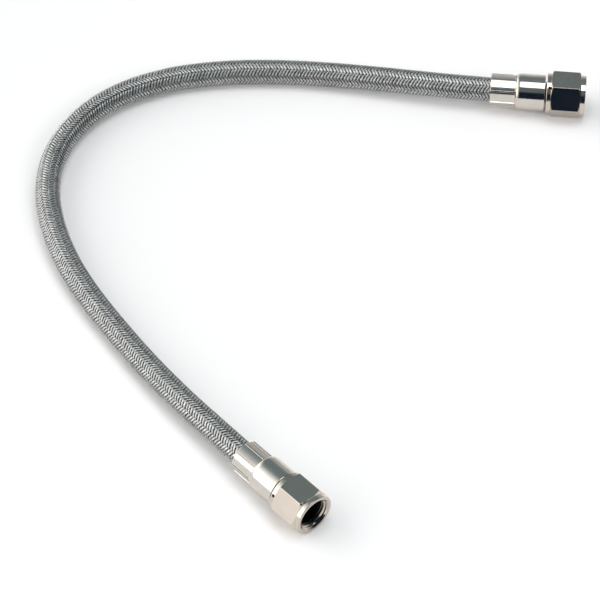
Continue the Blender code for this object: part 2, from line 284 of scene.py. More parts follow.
def fitting_frame(end):
    """Frame of one end at its collar's rear rim: X up, Y to the right of the heading, Z out."""
    x, y = ENDS[end]["rim"]
    heading = ENDS[end]["heading"]
    out = Vector((cos(heading), sin(heading), 0.0))
    up = Vector((0.0, 0.0, 1.0))
    matrix = Matrix((up, out.cross(up), out)).transposed().to_4x4()
    matrix.translation = (x, y, AXIS_HEIGHT)
    return matrix


def smooth_step(t):
    """From 0 to 1 with a soft start and end."""
    t = np.clip(t, 0.0, 1.0)
    return t * t * (3 - 2 * t)


def walk(points):
    """Distance of each point from the first, along the line through them."""
    return np.concatenate([[0.0], np.cumsum(np.linalg.norm(np.diff(points, axis=0), axis=1))])


def hose_centreline():
    """Distances along the hose's middle line and its evenly spaced points, end b first; it is
    straight inside each collar."""
    start, end = (fitting_frame(e).translation for e in ("b", "a"))
    flat = np.array([start[:2]] + ROUTE + [end[:2]])
    walked = walk(flat)
    nearest = np.minimum(walked, walked[-1] - walked)
    rise = AXIS_HEIGHT - LYING_HEIGHT
    height = LYING_HEIGHT + rise * smooth_step(1 - nearest / RISE_LENGTH)
    knots = np.column_stack([flat, height])
    padded = np.vstack([2 * knots[0] - knots[1], knots, 2 * knots[-1] - knots[-2]])
    t = np.linspace(0, 1, SPAN_STEPS, endpoint=False)[:, None]
    spans = []
    for before, here, there, after in zip(padded, padded[1:], padded[2:], padded[3:]):
        spans.append(0.5 * (
            2 * here
            + (there - before) * t
            + (2 * before - 5 * here + 4 * there - after) * t ** 2
            + (3 * here - before - 3 * there + after) * t ** 3))
    into = [np.array(fitting_frame(e) @ Vector((0, 0, HOSE_INSERTION))) for e in ("b", "a")]
    points = np.vstack([into[0], *spans, knots[-1], into[1]])
    walked = walk(points)
    count = int(round(walked[-1] / CENTRELINE_STEP)) + 1
    even = np.linspace(0, walked[-1], count)
    return even, np.column_stack([np.interp(even, walked, points[:, i]) for i in range(3)])


def hose_frames(points):
    """Up and side directions along the middle line, square to it."""
    along = np.gradient(points, axis=0)
    along /= np.linalg.norm(along, axis=1)[:, None]
    side = np.cross(along, np.array([0.0, 0.0, 1.0]))
    side /= np.linalg.norm(side, axis=1)[:, None]
    return np.cross(side, along), side


def tube_rows(points, radius, columns):
    """Rows of points round the middle line."""
    up, side = hose_frames(points)
    angle = 2 * pi * np.arange(columns) / columns
    return (
        points[:, None, :]
        + radius * np.cos(angle)[None, :, None] * up[:, None, :]
        + radius * np.sin(angle)[None, :, None] * side[:, None, :])


# Materials

def braided_stainless(colour, wires):
    """Drawn stainless wire, woven: a bright streak along each wire of about 0.2 mm from its bump,
    painted shade in the grooves between the wires and where strands dive under the ones they
    cross, dull patches of about 11 mm, and scuffs of about 1.4 mm."""
    material, tree, shader = new_material("drawn_stainless_wire_braid")
    uv = add_node(tree, "UVMap", {"uv_map": "across_and_along"})
    parts = add_node(tree, "SeparateXYZ", links={0: uv})
    wire = add_node(tree, "Math", {"operation": "MULTIPLY"}, {1: wires}, {0: parts})
    across_wire = add_node(tree, "Math", {"operation": "PINGPONG"}, {1: 0.5}, {0: wire})
    crown = add_node(tree, "Math", {"operation": "POWER"}, {1: 0.5}, {0: across_wire})
    bump = add_node(
        tree, "Bump", values={"Strength": 0.5, "Distance": 0.0001}, links={"Height": crown})
    coords = add_node(tree, "TexCoord")
    stain = add_node(
        tree, "TexNoise", values={"Scale": 90.0, "Detail": 3.0},
        links={"Vector": coords.outputs["Object"]})
    tone = add_node(
        tree, "MapRange", values={"From Min": 0.3, "From Max": 0.7, "To Min": 0.82},
        links={"Value": stain})
    # Painted shade along each wire's edges, in the grooves between the wires
    painted_groove_shade = add_node(
        tree, "MapRange", values={"From Max": 0.22, "To Min": 0.62}, links={"Value": across_wire})
    # Painted shade where a strand lies low, diving under the ones it crosses: the lower, the
    # darker
    height = add_node(tree, "Attribute", {"attribute_name": "lift"})
    depth = add_node(
        tree, "MapRange", values={"From Min": 0.45, "From Max": 0.93, "To Min": 0.28},
        links={"Value": height.outputs["Fac"]})
    scuff = add_node(
        tree, "TexNoise", values={"Scale": 700.0, "Detail": 2.0},
        links={"Vector": coords.outputs["Object"]})
    worn = add_node(
        tree, "MapRange", values={"From Min": 0.35, "From Max": 0.65, "To Min": 0.62},
        links={"Value": scuff})
    shade = tone
    for share in (worn, depth, painted_groove_shade):
        shade = add_node(tree, "Math", {"operation": "MULTIPLY"}, links={0: shade, 1: share})
    paint = add_node(
        tree, "Mix", {"data_type": "RGBA"}, {6: (0, 0, 0, 1), 7: (*colour, 1)}, {0: shade})
    tangent = add_node(tree, "Tangent", {"direction_type": "UV_MAP", "uv_map": "across_and_along"})
    set_inputs(
        tree, shader, {"Metallic": 1.0, "Roughness": 0.4, "Anisotropic": 0.6},
        {"Base Color": paint.outputs[2], "Normal": bump, "Tangent": tangent})
    return material


def extruded_liner(colour):
    """Extruded thermoplastic: satin, with a faint unevenness of about 2.5 mm from the die."""
    material, tree, shader = new_material("extruded_thermoplastic")
    coords = add_node(tree, "TexCoord")
    noise = add_node(
        tree, "TexNoise", values={"Scale": 400.0, "Detail": 2.0},
        links={"Vector": coords.outputs["Object"]})
    rough = add_node(
        tree, "MapRange", values={"To Min": 0.38, "To Max": 0.55}, links={"Value": noise})
    bump = add_node(
        tree, "Bump", values={"Strength": 0.2, "Distance": 0.00005}, links={"Height": noise})
    set_inputs(tree, shader, {"Base Color": (*colour, 1)}, {"Roughness": rough, "Normal": bump})
    return material


def plated_steel(name, colour, roughness, line_spacing, line_strength, speck):
    """Steel under bright plating: faint tool lines round the axis at their real spacing, too
    fine to see from afar, and cloudy patches of about 4 mm, a little duller and darker."""
    material, tree, shader = new_material(name)
    coords = add_node(tree, "TexCoord")
    parts = add_node(tree, "SeparateXYZ", links={0: coords.outputs["Object"]})
    lines = add_node(
        tree, "TexNoise", {"noise_dimensions": "1D"}, {"Scale": 1.0 / line_spacing, "Detail": 2.0},
        {"W": parts.outputs[2]})
    cloud = add_node(
        tree, "TexNoise", values={"Scale": 260.0, "Detail": 4.0},
        links={"Vector": coords.outputs["Object"]})
    rough = add_node(
        tree, "MapRange", values={
            "From Min": 0.3, "From Max": 0.7, "To Min": roughness * 0.75,
            "To Max": roughness * 1.35},
        links={"Value": cloud})
    tone = add_node(
        tree, "MapRange",
        values={"From Min": 0.35, "From Max": 0.75, "To Min": 1.0, "To Max": speck},
        links={"Value": cloud})
    paint = add_node(
        tree, "Mix", {"data_type": "RGBA"}, {6: (0, 0, 0, 1), 7: (*colour, 1)}, {0: tone})
    bump = add_node(
        tree, "Bump", values={"Strength": line_strength, "Distance": 0.00002},
        links={"Height": lines})
    set_inputs(
        tree, shader, {"Metallic": 1.0},
        {"Base Color": paint.outputs[2], "Roughness": rough, "Normal": bump})
    return material


def shaded_thread_steel(plating, colour, bright, dark):
    """The nut's inside: the plating's colour at the mouth, turning to painted shade deeper in."""
    material, tree, shader = new_material("thread_steel_with_painted_shade")
    coords = add_node(tree, "TexCoord")
    parts = add_node(tree, "SeparateXYZ", links={0: coords.outputs["Object"]})
    # Painted shade deeper in the nut: the paint turns from the plating's colour to the dark shade
    # colour
    depth = add_node(
        tree, "MapRange", {"interpolation_type": "SMOOTHSTEP"},
        {"From Min": bright, "From Max": dark}, {"Value": parts.outputs[2]})
    paint = add_node(
        tree, "Mix", {"data_type": "RGBA"}, {6: (*plating, 1), 7: (*colour, 1)}, {0: depth})
    rough = add_node(
        tree, "MapRange", values={"To Min": 0.16, "To Max": 0.45}, links={"Value": depth})
    set_inputs(
        tree, shader, {"Metallic": 1.0}, {"Base Color": paint.outputs[2], "Roughness": rough})
    return material


def drawn_spring_wire(colour):
    """Hard-drawn spring wire: grey and satin, unevenly so over about 1.4 mm."""
    material, tree, shader = new_material("hard_drawn_spring_wire")
    coords = add_node(tree, "TexCoord")
    noise = add_node(
        tree, "TexNoise", values={"Scale": 700.0, "Detail": 2.0},
        links={"Vector": coords.outputs["Object"]})
    rough = add_node(
        tree, "MapRange", values={"To Min": 0.25, "To Max": 0.42}, links={"Value": noise})
    set_inputs(tree, shader, {"Base Color": (*colour, 1), "Metallic": 1.0}, {"Roughness": rough})
    return material


# Settings

Length = partial(FloatProperty, unit="LENGTH")
Angle = partial(FloatProperty, subtype="ANGLE")
Colour = partial(FloatVectorProperty, subtype="COLOR")


class HoseSettings(PropertyGroup):
    outside_diameter: Length(
        name="Outside Diameter", description="Across the braid", default=0.0124)
    liner_diameter: Length(
        name="Liner Diameter", description="Across the tube under the braid", default=0.0111)
    liner_bore: Length(name="Liner Bore", description="Through the tube", default=0.0083)
    lead: Length(
        name="Lead", description="Length in which a strand goes once round the hose",
        default=0.0204)
    strands: IntProperty(
        name="Strands Each Way", description="Strands wound in each direction, an even number",
        default=12, min=4)
    strand_width: Length(
        name="Strand Width", description="Across the wires of one strand", default=0.00108)
    wires: IntProperty(
        name="Wires in a Strand", description="Wires that lie side by side in one strand",
        default=5, min=1)
    weave_depth: Length(
        name="Weave Depth", description="How far a strand rises over the ones it crosses",
        default=0.00030)
    crown: Length(
        name="Strand Crown", description="How far a strand's edges lie below its middle",
        default=0.00028)
    roll: Angle(
        name="Roll", description="Turn of the braid's rows about the hose at end a",
        default=radians(16.7))
    twist: Angle(
        name="Twist", description="Further turn of the rows from end a to end b",
        default=radians(8.0))
    wander: Angle(
        name="Wander", description="How far a strand strays round the hose from its even place",
        default=radians(1.6))
    wire_colour: Colour(
        name="Wire Colour", description="Colour of the braid's wire", default=linear("#e4e5e4"))
    # The liner's own colour, made dark as painted shade in the braid's gaps, the only place it
    # shows
    liner_colour_with_gap_shade: Colour(
        name="Liner Colour", description="Colour of the tube under the braid",
        default=linear("#2b2c2c"))


class CollarSettings(PropertyGroup):
    length: Length(name="Length", description="Whole length of the collar", default=0.0274)
    crimp_length: Length(
        name="Crimped Length", description="From the rear rim to the round part", default=0.0140)
    outside_diameter: Length(
        name="Outside Diameter", description="Across the round part", default=0.0185)
    ridge_diameter: Length(
        name="Ridge Diameter", description="Across the ridges between the crimp flats",
        default=0.0166)
    across_flats: Length(
        name="Across Flats", description="Across two opposite crimp flats", default=0.0153)
    flats: IntProperty(name="Flats", description="Number of crimp flats", default=8, min=4)
    bulge: FloatProperty(
        name="Bulge", description="Shape of a crimp flat across, 1 is flat and 0 is round",
        default=0.55, min=0.0, max=1.0)
    bore: Length(name="Bore", description="Inside diameter round the hose", default=0.0130)
    lip_bore: Length(
        name="Lip Bore", description="Inside diameter of the lip that holds the tail",
        default=0.0098)
    lip_length: Length(
        name="Lip Length", description="Length of the lip at the front", default=0.0030)
    edge: Length(name="Edge Rounding", description="Rounding of the outer rims", default=0.0002)
    turn_a: Angle(
        name="Crimp Turn, End A", description="Turn of a ridge from straight up",
        default=radians(6.0))
    turn_b: Angle(
        name="Crimp Turn, End B", description="Turn of a ridge from straight up",
        default=radians(-6.0))
    colour: Colour(name="Colour", description="Colour of the plating", default=linear("#cfc9c1"))


class TailSettings(PropertyGroup):
    neck_diameter: Length(
        name="Neck Diameter", description="Across the neck that the nut turns on", default=0.0118)
    groove_depth: Length(
        name="Groove Depth", description="Depth of the groove for the collar's lip",
        default=0.0013)
    bore: Length(name="Bore", description="Air way through the tail", default=0.0052)
    barb_diameter: Length(
        name="Barb Diameter", description="Across the barbs inside the liner", default=0.0074)
    barbs: IntProperty(name="Barbs", description="Number of barbs", default=4, min=1)
    front: Length(
        name="Front", description="From the collar's rear rim to the conical seat's rim",
        default=0.0372)
    # Near black as painted shade: the tail shows only in the slit behind the nut and deep in its
    # mouth
    colour: Colour(name="Colour", description="Colour of the tail", default=linear("#2a2a2b"))
    wire_colour: Colour(
        name="Thrust Wire Colour", description="Colour of the wire that holds the nut",
        default=linear("#8f908e"))


class NutSettings(PropertyGroup):
    rear: Length(name="Rear", description="From the collar's rear rim to the nut", default=0.0282)
    across_flats: Length(
        name="Across Flats", description="Across two opposite flats", default=0.0206)
    shoulder_diameter: Length(
        name="Shoulder Diameter", description="Across the round shoulders", default=0.0204)
    rear_shoulder: Length(
        name="Rear Shoulder", description="Length of the shoulder beside the collar",
        default=0.0022)
    hex_length: Length(
        name="Hexagon Length", description="Length of the six flats with their chamfers",
        default=0.0150)
    front_shoulder: Length(
        name="Front Shoulder", description="Length of the shoulder at the mouth", default=0.0024)
    chamfer: Angle(
        name="Chamfer Angle", description="Slope of the chamfer on the hexagon's corners",
        default=radians(30.0))
    ridge_rounding: Length(
        name="Ridge Rounding", description="Rounding of the ridges between flats", default=0.00022)
    edge: Length(
        name="Edge Rounding", description="Rounding of the shoulders' rims", default=0.0003)
    mouth_diameter: Length(
        name="Mouth Diameter", description="Across the mouth's chamfer", default=0.0174)
    thread_minor: Length(
        name="Thread Minor Diameter", description="Across the thread's crests", default=0.0144)
    thread_major: Length(
        name="Thread Major Diameter", description="Across the thread's roots", default=0.0159)
    thread_pitch: Length(
        name="Thread Pitch", description="From one crest to the next, 18 to the inch",
        default=0.0254 / 18)
    land_length: Length(
        name="Land Length", description="Length of the bore that turns on the neck",
        default=0.0060)
    land_diameter: Length(
        name="Land Diameter", description="Across the bore that turns on the neck", default=0.0124)
    relief_length: Length(
        name="Thread Relief", description="Length of the groove behind the thread", default=0.0020)
    hole_diameter: Length(
        name="Loading Hole", description="Across the hole that the thrust wire is fed through",
        default=0.0016)
    hole_from_rear: Length(
        name="Hole From Rear", description="From the nut's rear face to the loading hole",
        default=0.0015)
    hole_turn_a: Angle(
        name="Hole Turn, End A", description="Turn of the loading hole from straight up",
        default=radians(30.0))
    hole_turn_b: Angle(
        name="Hole Turn, End B", description="Turn of the loading hole from straight up",
        default=radians(60.0))
    colour: Colour(name="Colour", description="Colour of the plating", default=linear("#ccc2b7"))
    # Painted shade deep inside the nut, where its bore lies in shadow
    inner_shade_colour: Colour(
        name="Inner Colour", description="Painted shade deep inside the nut",
        default=linear("#26282c"))


class StageSettings(PropertyGroup):
    floor_colour: Colour(
        name="Floor Colour", description="Colour of the floor", default=linear("#f5f3f3"))
    floor_glow: FloatProperty(
        name="Floor Glow", description="Light added to the floor as it is seen, 1 is white",
        default=0.05, min=0.0)
    lens: FloatProperty(
        name="Focal Length", description="Camera lens on a 36 mm sensor, in millimetres",
        default=213.0, subtype="DISTANCE_CAMERA")
    distance: Length(
        name="Camera Distance", description="From the camera to the point it looks at",
        default=1.709)
    elevation: Angle(
        name="Camera Elevation", description="Above the floor's plane", default=radians(48.0))
    turn: Angle(
        name="Camera Turn", description="Round the hose, from straight in front",
        default=radians(5.6))
    target: FloatVectorProperty(
        name="Camera Target", description="Point at the picture's centre",
        default=(-0.0549, -0.0038, 0.0), subtype="XYZ", unit="LENGTH")
    overhead_strength: FloatProperty(
        name="Overhead Strength", description="Brightness of the overhead softbox, 1 is white",
        default=3.2, min=0.0)
    fill_strength: FloatProperty(
        name="Fill Strength", description="Brightness of the fill light, which no metal mirrors",
        default=5.0, min=0.0)


class LeaderHoseSettings(PropertyGroup):
    hose: PointerProperty(name="Hose", description="Liner and braid", type=HoseSettings)
    collar: PointerProperty(name="Collar", description="Crimped collars", type=CollarSettings)
    tail: PointerProperty(name="Tail", description="Hose tails", type=TailSettings)
    nut: PointerProperty(name="Nut", description="Swivel nuts", type=NutSettings)
    stage: PointerProperty(name="Stage", description="Camera, floor and light", type=StageSettings)


# Stage

def studio_world():
    """The studio that the plating mirrors: pale low and grey high behind, near black low in
    front, and a wide bright window on the left."""
    world = bpy.data.worlds.new("studio")
    world.use_nodes = True
    tree = world.node_tree
    coords = add_node(tree, "TexCoord")
    parts = add_node(tree, "SeparateXYZ", links={0: coords.outputs["Generated"]})
    shades = {}
    for name, axis, start, end, low, high in STUDIO_SHADES:
        share = add_node(
            tree, "MapRange", {"interpolation_type": "SMOOTHSTEP"},
            {"From Min": start, "From Max": end}, {"Value": parts.outputs[axis]})
        values, links = {}, {0: share}
        for socket, shade in ((6, low), (7, high)):
            if shade in shades:
                links[socket] = shades[shade].outputs[2]
            else:
                values[socket] = (*linear(shade), 1)
        shades[name] = add_node(tree, "Mix", {"data_type": "RGBA"}, values, links)
    strength = add_node(
        tree, "Math", {"operation": "MULTIPLY_ADD"}, {1: WINDOW_GLOW, 2: 1.0}, {0: share})
    set_inputs(
        tree, tree.nodes["Background"],
        links={"Color": shades["window"].outputs[2], "Strength": strength})
    return world


class LEADERHOSE_OT_stage(Operator):
    """Set up the camera, the pale floor, the studio and its two soft lights"""
    bl_idname = "leader_hose.stage"
    bl_label = "Make Stage"

    def execute(self, context):
        stage = context.scene.leader_hose.stage
        camera = bpy.data.objects.new("camera", bpy.data.cameras.new("camera"))
        context.scene.collection.objects.link(camera)
        camera.data.lens = stage.lens
        rise, turn = stage.elevation, stage.turn
        back = Vector((cos(rise) * sin(turn), -cos(rise) * cos(turn), sin(rise)))
        camera.location = Vector(stage.target) + back * stage.distance
        camera.rotation_euler = back.to_track_quat("Z", "Y").to_euler()
        context.scene.camera = camera

        reach = (-FLOOR_REACH, FLOOR_REACH)
        corners = np.array([[(x, y, 0.0) for x in reach] for y in reach])
        floor_mesh = grid_mesh("floor", corners, close_columns=False)
        # White card: matt, a little unevenly so over about 25 mm
        material, tree, shader = new_material("white_card")
        coords = add_node(tree, "TexCoord")
        grain = add_node(
            tree, "TexNoise", values={"Scale": 40.0, "Detail": 3.0},
            links={"Vector": coords.outputs["Object"]})
        rough = add_node(
            tree, "MapRange", values={"To Min": 0.7, "To Max": 0.8}, links={"Value": grain})
        ray = add_node(tree, "LightPath")
        shown = ray.outputs["Is Camera Ray"]
        for kind in ("Is Glossy Ray", "Is Transmission Ray"):
            shown = add_node(
                tree, "Math", {"operation": "MAXIMUM"}, links={0: shown, 1: ray.outputs[kind]})
        glow = add_node(tree, "Math", {"operation": "MULTIPLY"}, {1: stage.floor_glow}, {0: shown})
        paint = (*stage.floor_colour, 1)
        set_inputs(
            tree, shader,
            {"Base Color": paint, "Specular IOR Level": 0.1, "Emission Color": paint},
            {"Roughness": rough, "Emission Strength": glow})
        floor_mesh.materials.append(material)
        floor = bpy.data.objects.new("floor", floor_mesh)
        context.scene.collection.objects.link(floor)

        self.softbox(context, "overhead_softbox", OVERHEAD_PLACE, OVERHEAD_SIZE,
                     stage.overhead_strength)
        fill = self.softbox(context, "front_fill", FILL_PLACE, FILL_SIZE, stage.fill_strength)
        fill.rotation_euler = Vector(FILL_PLACE).to_track_quat("Z", "Y").to_euler()
        fill.visible_glossy = False
        context.scene.world = studio_world()
        context.scene.view_settings.view_transform = "Standard"
        return {"FINISHED"}

    def softbox(self, context, name, location, size, strength):
        """An area light of a given brightness, facing down."""
        lamp = bpy.data.lights.new(name, "AREA")
        lamp.shape = "RECTANGLE"
        lamp.size, lamp.size_y = size
        lamp.energy = strength * pi * size[0] * size[1]
        box = bpy.data.objects.new(name, lamp)
        box.location = location
        context.scene.collection.objects.link(box)
        return box


# Hose

def strand_rows(hose, places, points, direction, strand, wander):
    """Points of one flat strand, as rows along it and columns across it, with their place in
    the strand and their share of the braid's height. The strand strays in waves of the length
    and phase that wander gives."""
    wave_length, phase = wander
    radius = hose.outside_diameter / 2 - hose.weave_depth / 2
    slope = atan2(2 * pi * radius, hose.lead)
    up, side = hose_frames(points)
    samples = int(round(places[-1] / hose.lead * 2 * hose.strands * ROWS_PER_CROSSING))
    along = np.linspace(0, places[-1], samples + 1)[:, None]
    share = np.sin(np.linspace(-1, 1, STRAND_COLUMNS) * pi / 2)[None, :]
    across = share * hose.strand_width / 2
    u = np.clip(along - direction * across * sin(slope), 0, places[-1])
    angle = (
        direction * 2 * pi * along / hose.lead
        + 2 * pi * strand / hose.strands
        + across * cos(slope) / radius
        + hose.wander * np.sin(2 * pi * (along / wave_length + phase)))
    roll = hose.roll + hose.twist * (1 - along / places[-1])
    wave = np.clip(WEAVE_STEEPNESS * np.cos(hose.strands / 2 * (angle - roll)), -1, 1)
    dome = hose.crown * (1 - np.sqrt(1 - share ** 2))
    r = radius + direction * wave * hose.weave_depth / 2 - dome
    at, ups, sides = (
        [np.interp(u, places, line[:, i]) for i in range(3)] for line in (points, up, side))
    rows = np.stack([
        at[i] + r * np.cos(angle) * ups[i] + r * np.sin(angle) * sides[i] for i in range(3)], -1)
    uv = np.stack(np.broadcast_arrays((share + 1) / 2, along / hose.strand_width), -1)
    # lift: the share of the braid's height, which the braid's material turns into painted shade
    # where strands lie low
    lowest = radius - hose.weave_depth / 2 - hose.crown
    lift = (r - lowest) / (hose.outside_diameter / 2 - lowest)
    return rows, uv, lift


class LEADERHOSE_OT_liner(Operator):
    bl_idname = "leader_hose.liner"
    bl_label = "Make Liner Tube"

    def execute(self, context):
        hose = context.scene.leader_hose.hose
        _, points = hose_centreline()
        path = points[::LINER_STRIDE]
        outside = tube_rows(path, hose.liner_diameter / 2, LINER_COLUMNS)
        inside = tube_rows(path, hose.liner_bore / 2, LINER_COLUMNS)
        rows = np.concatenate([outside, inside[::-1]])
        mesh = grid_mesh("liner", rows, close_rows=True)
        outward(mesh)
        smooth_faces(mesh, sharp_angle=radians(40))
        liner = place(mesh, extruded_liner(hose.liner_colour_with_gap_shade), "hose")
        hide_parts("liner_tube")
        rim = fitting_frame("b").translation
        return {"FINISHED"}


class LEADERHOSE_OT_braid(Operator):
    """Weave the steel braid: strands wound both ways, over two and under two"""
    bl_idname = "leader_hose.braid"
    bl_label = "Make Wire Braid"

    def execute(self, context):
        hose = context.scene.leader_hose.hose
        places, points = hose_centreline()
        material = braided_stainless(hose.wire_colour, hose.wires)
        uneven = np.random.default_rng(seed=7)
        for name, direction in (("braid_right", 1), ("braid_left", -1)):
            strands = []
            for strand in range(hose.strands):
                wander = uneven.uniform(*WANDER_LENGTHS), uneven.uniform(0, 1)
                rows, uv, lift = strand_rows(hose, places, points, direction, strand, wander)
                strands.append(grid_mesh("strand", rows, close_columns=False, uv=uv, lift=lift))
            mesh = joined(name, strands, merge=False)
            smooth_faces(mesh)
            braid = place(mesh, material, "hose")
            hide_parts("wire_braid")
        return {"FINISHED"}


# Collars

def collar_columns(collar):
    """Angles round the collar, closer together beside each ridge."""
    half = 180.0 / collar.flats
    offsets = [-half] + [-s for s in reversed(FLAT_COLUMNS[1:])] + FLAT_COLUMNS
    return np.radians([f * 2 * half + half + s for f in range(collar.flats) for s in offsets])


def collar_rows(collar, turn):
    """Rows of the collar: crimp flats at the rear, round in front, bore and lip inside."""
    angle = collar_columns(collar)
    half = pi / collar.flats
    flat = collar.across_flats / 2
    ridge = collar.ridge_diameter / 2
    outer = collar.outside_diameter / 2
    from_flat = np.abs((angle % (2 * half)) - half)
    pressed = flat * (1 + collar.bulge * np.minimum(from_flat, RIDGE_FOOT) ** 2 / 2)
    pressed = pressed + (ridge - pressed) * smooth_step((from_flat - RIDGE_FOOT) / RIDGE_SLOPE)
    step = collar.crimp_length
    heights = [h / 1000 for h in REAR_ROWS] + [collar.length - h / 1000 for h in FRONT_ROWS]
    rows = []
    for z in heights:
        rise = np.clip((z - step + DOME_START) / DOME_LENGTH, 0, 1)
        dome = ridge + (outer - ridge) * sqrt(1 - (1 - rise) ** 2)
        open_up = smooth_step((z - step + FLATS_END) / FLATS_FADE)
        r = np.minimum(dome, pressed + (outer - pressed) * open_up)
        for distance in (z, collar.length - z):
            short = max(0.0, collar.edge - distance)
            r = r - (collar.edge - sqrt(collar.edge ** 2 - short ** 2))
        rows.append(ring(r, angle + turn, z))
    bore, lip = collar.bore / 2, collar.lip_bore / 2
    lip_start = collar.length - collar.lip_length
    inner = [
        (lip + LIP_CHAMFER, collar.length), (lip, collar.length - LIP_CHAMFER), (lip, lip_start),
        (bore, lip_start), (bore, BORE_CHAMFER), (bore + BORE_CHAMFER, 0.0)]
    return np.array(rows + [ring(r, angle + turn, z) for r, z in inner])


class LEADERHOSE_OT_collars(Operator):
    """Make the two crimped collars"""
    bl_idname = "leader_hose.collars"
    bl_label = "Make Crimp Collars"

    def execute(self, context):
        collar = context.scene.leader_hose.collar
        material = plated_steel(
            "bright_plated_turned_steel", collar.colour, roughness=0.11, line_spacing=0.00025,
            line_strength=0.12, speck=0.9)
        for end, turn in (("a", collar.turn_a), ("b", collar.turn_b)):
            mesh = grid_mesh("collar_" + end, collar_rows(collar, turn), close_rows=True)
            outward(mesh)
            smooth_faces(mesh, sharp_angle=radians(40))
            piece = place(mesh, material, "hose", fitting_frame(end))
            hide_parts("crimp_collar_" + end)
        return {"FINISHED"}


# Tails

def tail_outline(tail, collar, nut):
    """The tail from its conical seat back to the barbed stem, then forward along its bore."""
    neck = tail.neck_diameter / 2
    groove = neck - tail.groove_depth
    bore = tail.bore / 2
    seat = neck - SEAT_CHAMFER
    wire = nut.rear + nut.hole_from_rear
    halfway = WIRE_CHANNEL * HALFWAY
    stem_end = HOSE_INSERTION + PIECE_GAP
    lip_front = collar.length + PIECE_GAP
    lip_rear = collar.length - collar.lip_length - PIECE_GAP
    outline = [
        (seat, tail.front, RIM),
        (neck, tail.front - SEAT_CHAMFER, NECK_RIM),
        (neck, wire + WIRE_CHANNEL, 0),
        (neck - halfway, wire + halfway, 0),
        (neck - WIRE_CHANNEL, wire, 0),
        (neck - halfway, wire - halfway, 0),
        (neck, wire - WIRE_CHANNEL, 0),
        (neck, lip_front, RIM),
        (groove, lip_front, 0),
        (groove, lip_rear, 0),
        (neck, lip_rear, 0),
        (neck, stem_end, 0),
    ]
    barb = tail.barb_diameter / 2
    root = barb - BARB_DEPTH
    pitch = (stem_end - STEM_START) / (tail.barbs + 1)
    outline.append((root, stem_end, 0))
    for i in range(tail.barbs, 0, -1):
        top = STEM_START + pitch * i
        outline += [
            (root, top, 0), (barb, top - BARB_LAND, BARB_RIM),
            (root, top - pitch * BARB_SLOPE, 0)]
    outline += [(bore, STEM_START, 0), (bore, tail.front - (seat - bore), 0)]
    return rounded_outline(outline)


class LEADERHOSE_OT_tails(Operator):
    """Make the two barbed hose tails with their conical seats"""
    bl_idname = "leader_hose.tails"
    bl_label = "Make Hose Tails"

    def execute(self, context):
        part = context.scene.leader_hose
        outline = tail_outline(part.tail, part.collar, part.nut)
        # The tail's near-black colour is painted shade in the slit and the mouth
        material = plated_steel(
            "plated_machined_tail_painted_shade", part.tail.colour, roughness=0.3, line_spacing=0.0002,
            line_strength=0.2, speck=0.85)
        for end in ENDS:
            mesh = grid_mesh("tail_" + end, turned_rows(outline, TAIL_COLUMNS), close_rows=True)
            outward(mesh)
            smooth_faces(mesh, sharp_angle=radians(35))
            piece = place(mesh, material, "hose", fitting_frame(end))
            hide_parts("hose_tail_" + end)
        return {"FINISHED"}


class LEADERHOSE_OT_thrust_wires(Operator):
    """Give the two thrust wires their drawn steel finish"""
    bl_idname = "leader_hose.thrust_wires"
    bl_label = "Finish Thrust Wires"

    def execute(self, context):
        material = drawn_spring_wire(context.scene.leader_hose.tail.wire_colour)
        for end in ENDS:
            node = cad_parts["thrust_wire_" + end]
            for piece_slot in node.material_slots:
                piece_slot.material = material
        return {"FINISHED"}


# Nuts

def hexagon_columns():
    """Angles round the nut, close together beside each ridge."""
    offsets = [-s for s in reversed(HEXAGON_COLUMNS[1:-1])] + HEXAGON_COLUMNS
    return np.radians([f * 60 + s for f in range(6) for s in offsets])


def hexagon_radius(nut, angle):
    """Distance from the axis to the hexagon with rounded ridges; a flat faces straight up."""
    flat = nut.across_flats / 2
    rounding = nut.ridge_rounding
    sixth = pi / 3
    from_flat = np.abs((angle + sixth / 2) % sixth - sixth / 2)
    from_ridge = sixth / 2 - from_flat
    centre = (flat - rounding) / cos(sixth / 2)
    contact = atan2((flat - rounding) * tan(sixth / 2), flat)
    rounded = centre * np.cos(from_ridge) + np.sqrt(
        np.maximum(0.0, rounding ** 2 - (centre * np.sin(from_ridge)) ** 2))
    return np.where(from_flat < contact, flat / np.cos(from_flat), rounded)


def nut_length(nut):
    """From the rear face to the mouth."""
    return nut.rear_shoulder + nut.hex_length + nut.front_shoulder


def nut_shell(nut):
    """The hexagon with its chamfers, the front shoulder, the mouth and the rim of the thread."""
    angle = hexagon_columns()
    hexagon = hexagon_radius(nut, angle)
    shoulder = nut.shoulder_diameter / 2
    rear, front = nut.rear_shoulder, nut.rear_shoulder + nut.hex_length
    length = front + nut.front_shoulder
    drop = (hexagon - shoulder) * tan(nut.chamfer)
    wide = CHAMFER_EDGE * cos(nut.chamfer)
    deep = CHAMFER_EDGE * sin(nut.chamfer)
    # Three points soften the edge between chamfer and flat
    edge = [(wide, -deep), (wide * 0.35, -deep * 0.35 + CHAMFER_EDGE * 0.18), (0.0, CHAMFER_EDGE)]
    rings = [(shoulder, rear)]
    rings += [(hexagon - inset, rear + drop + ahead) for inset, ahead in edge]
    rings += [(hexagon - inset, front - drop - ahead) for inset, ahead in reversed(edge)]
    rings.append((shoulder, front))
    rings += rounded_outline([
        (shoulder, front + SHOULDER_FOOT, 0), (shoulder, length, nut.edge),
        (nut.mouth_diameter / 2, length, RIM),
        (nut.thread_major / 2, length - (nut.mouth_diameter - nut.thread_major) / 2, 0)])
    return grid_mesh("shell", np.array([ring(r, angle, z) for r, z in rings]))


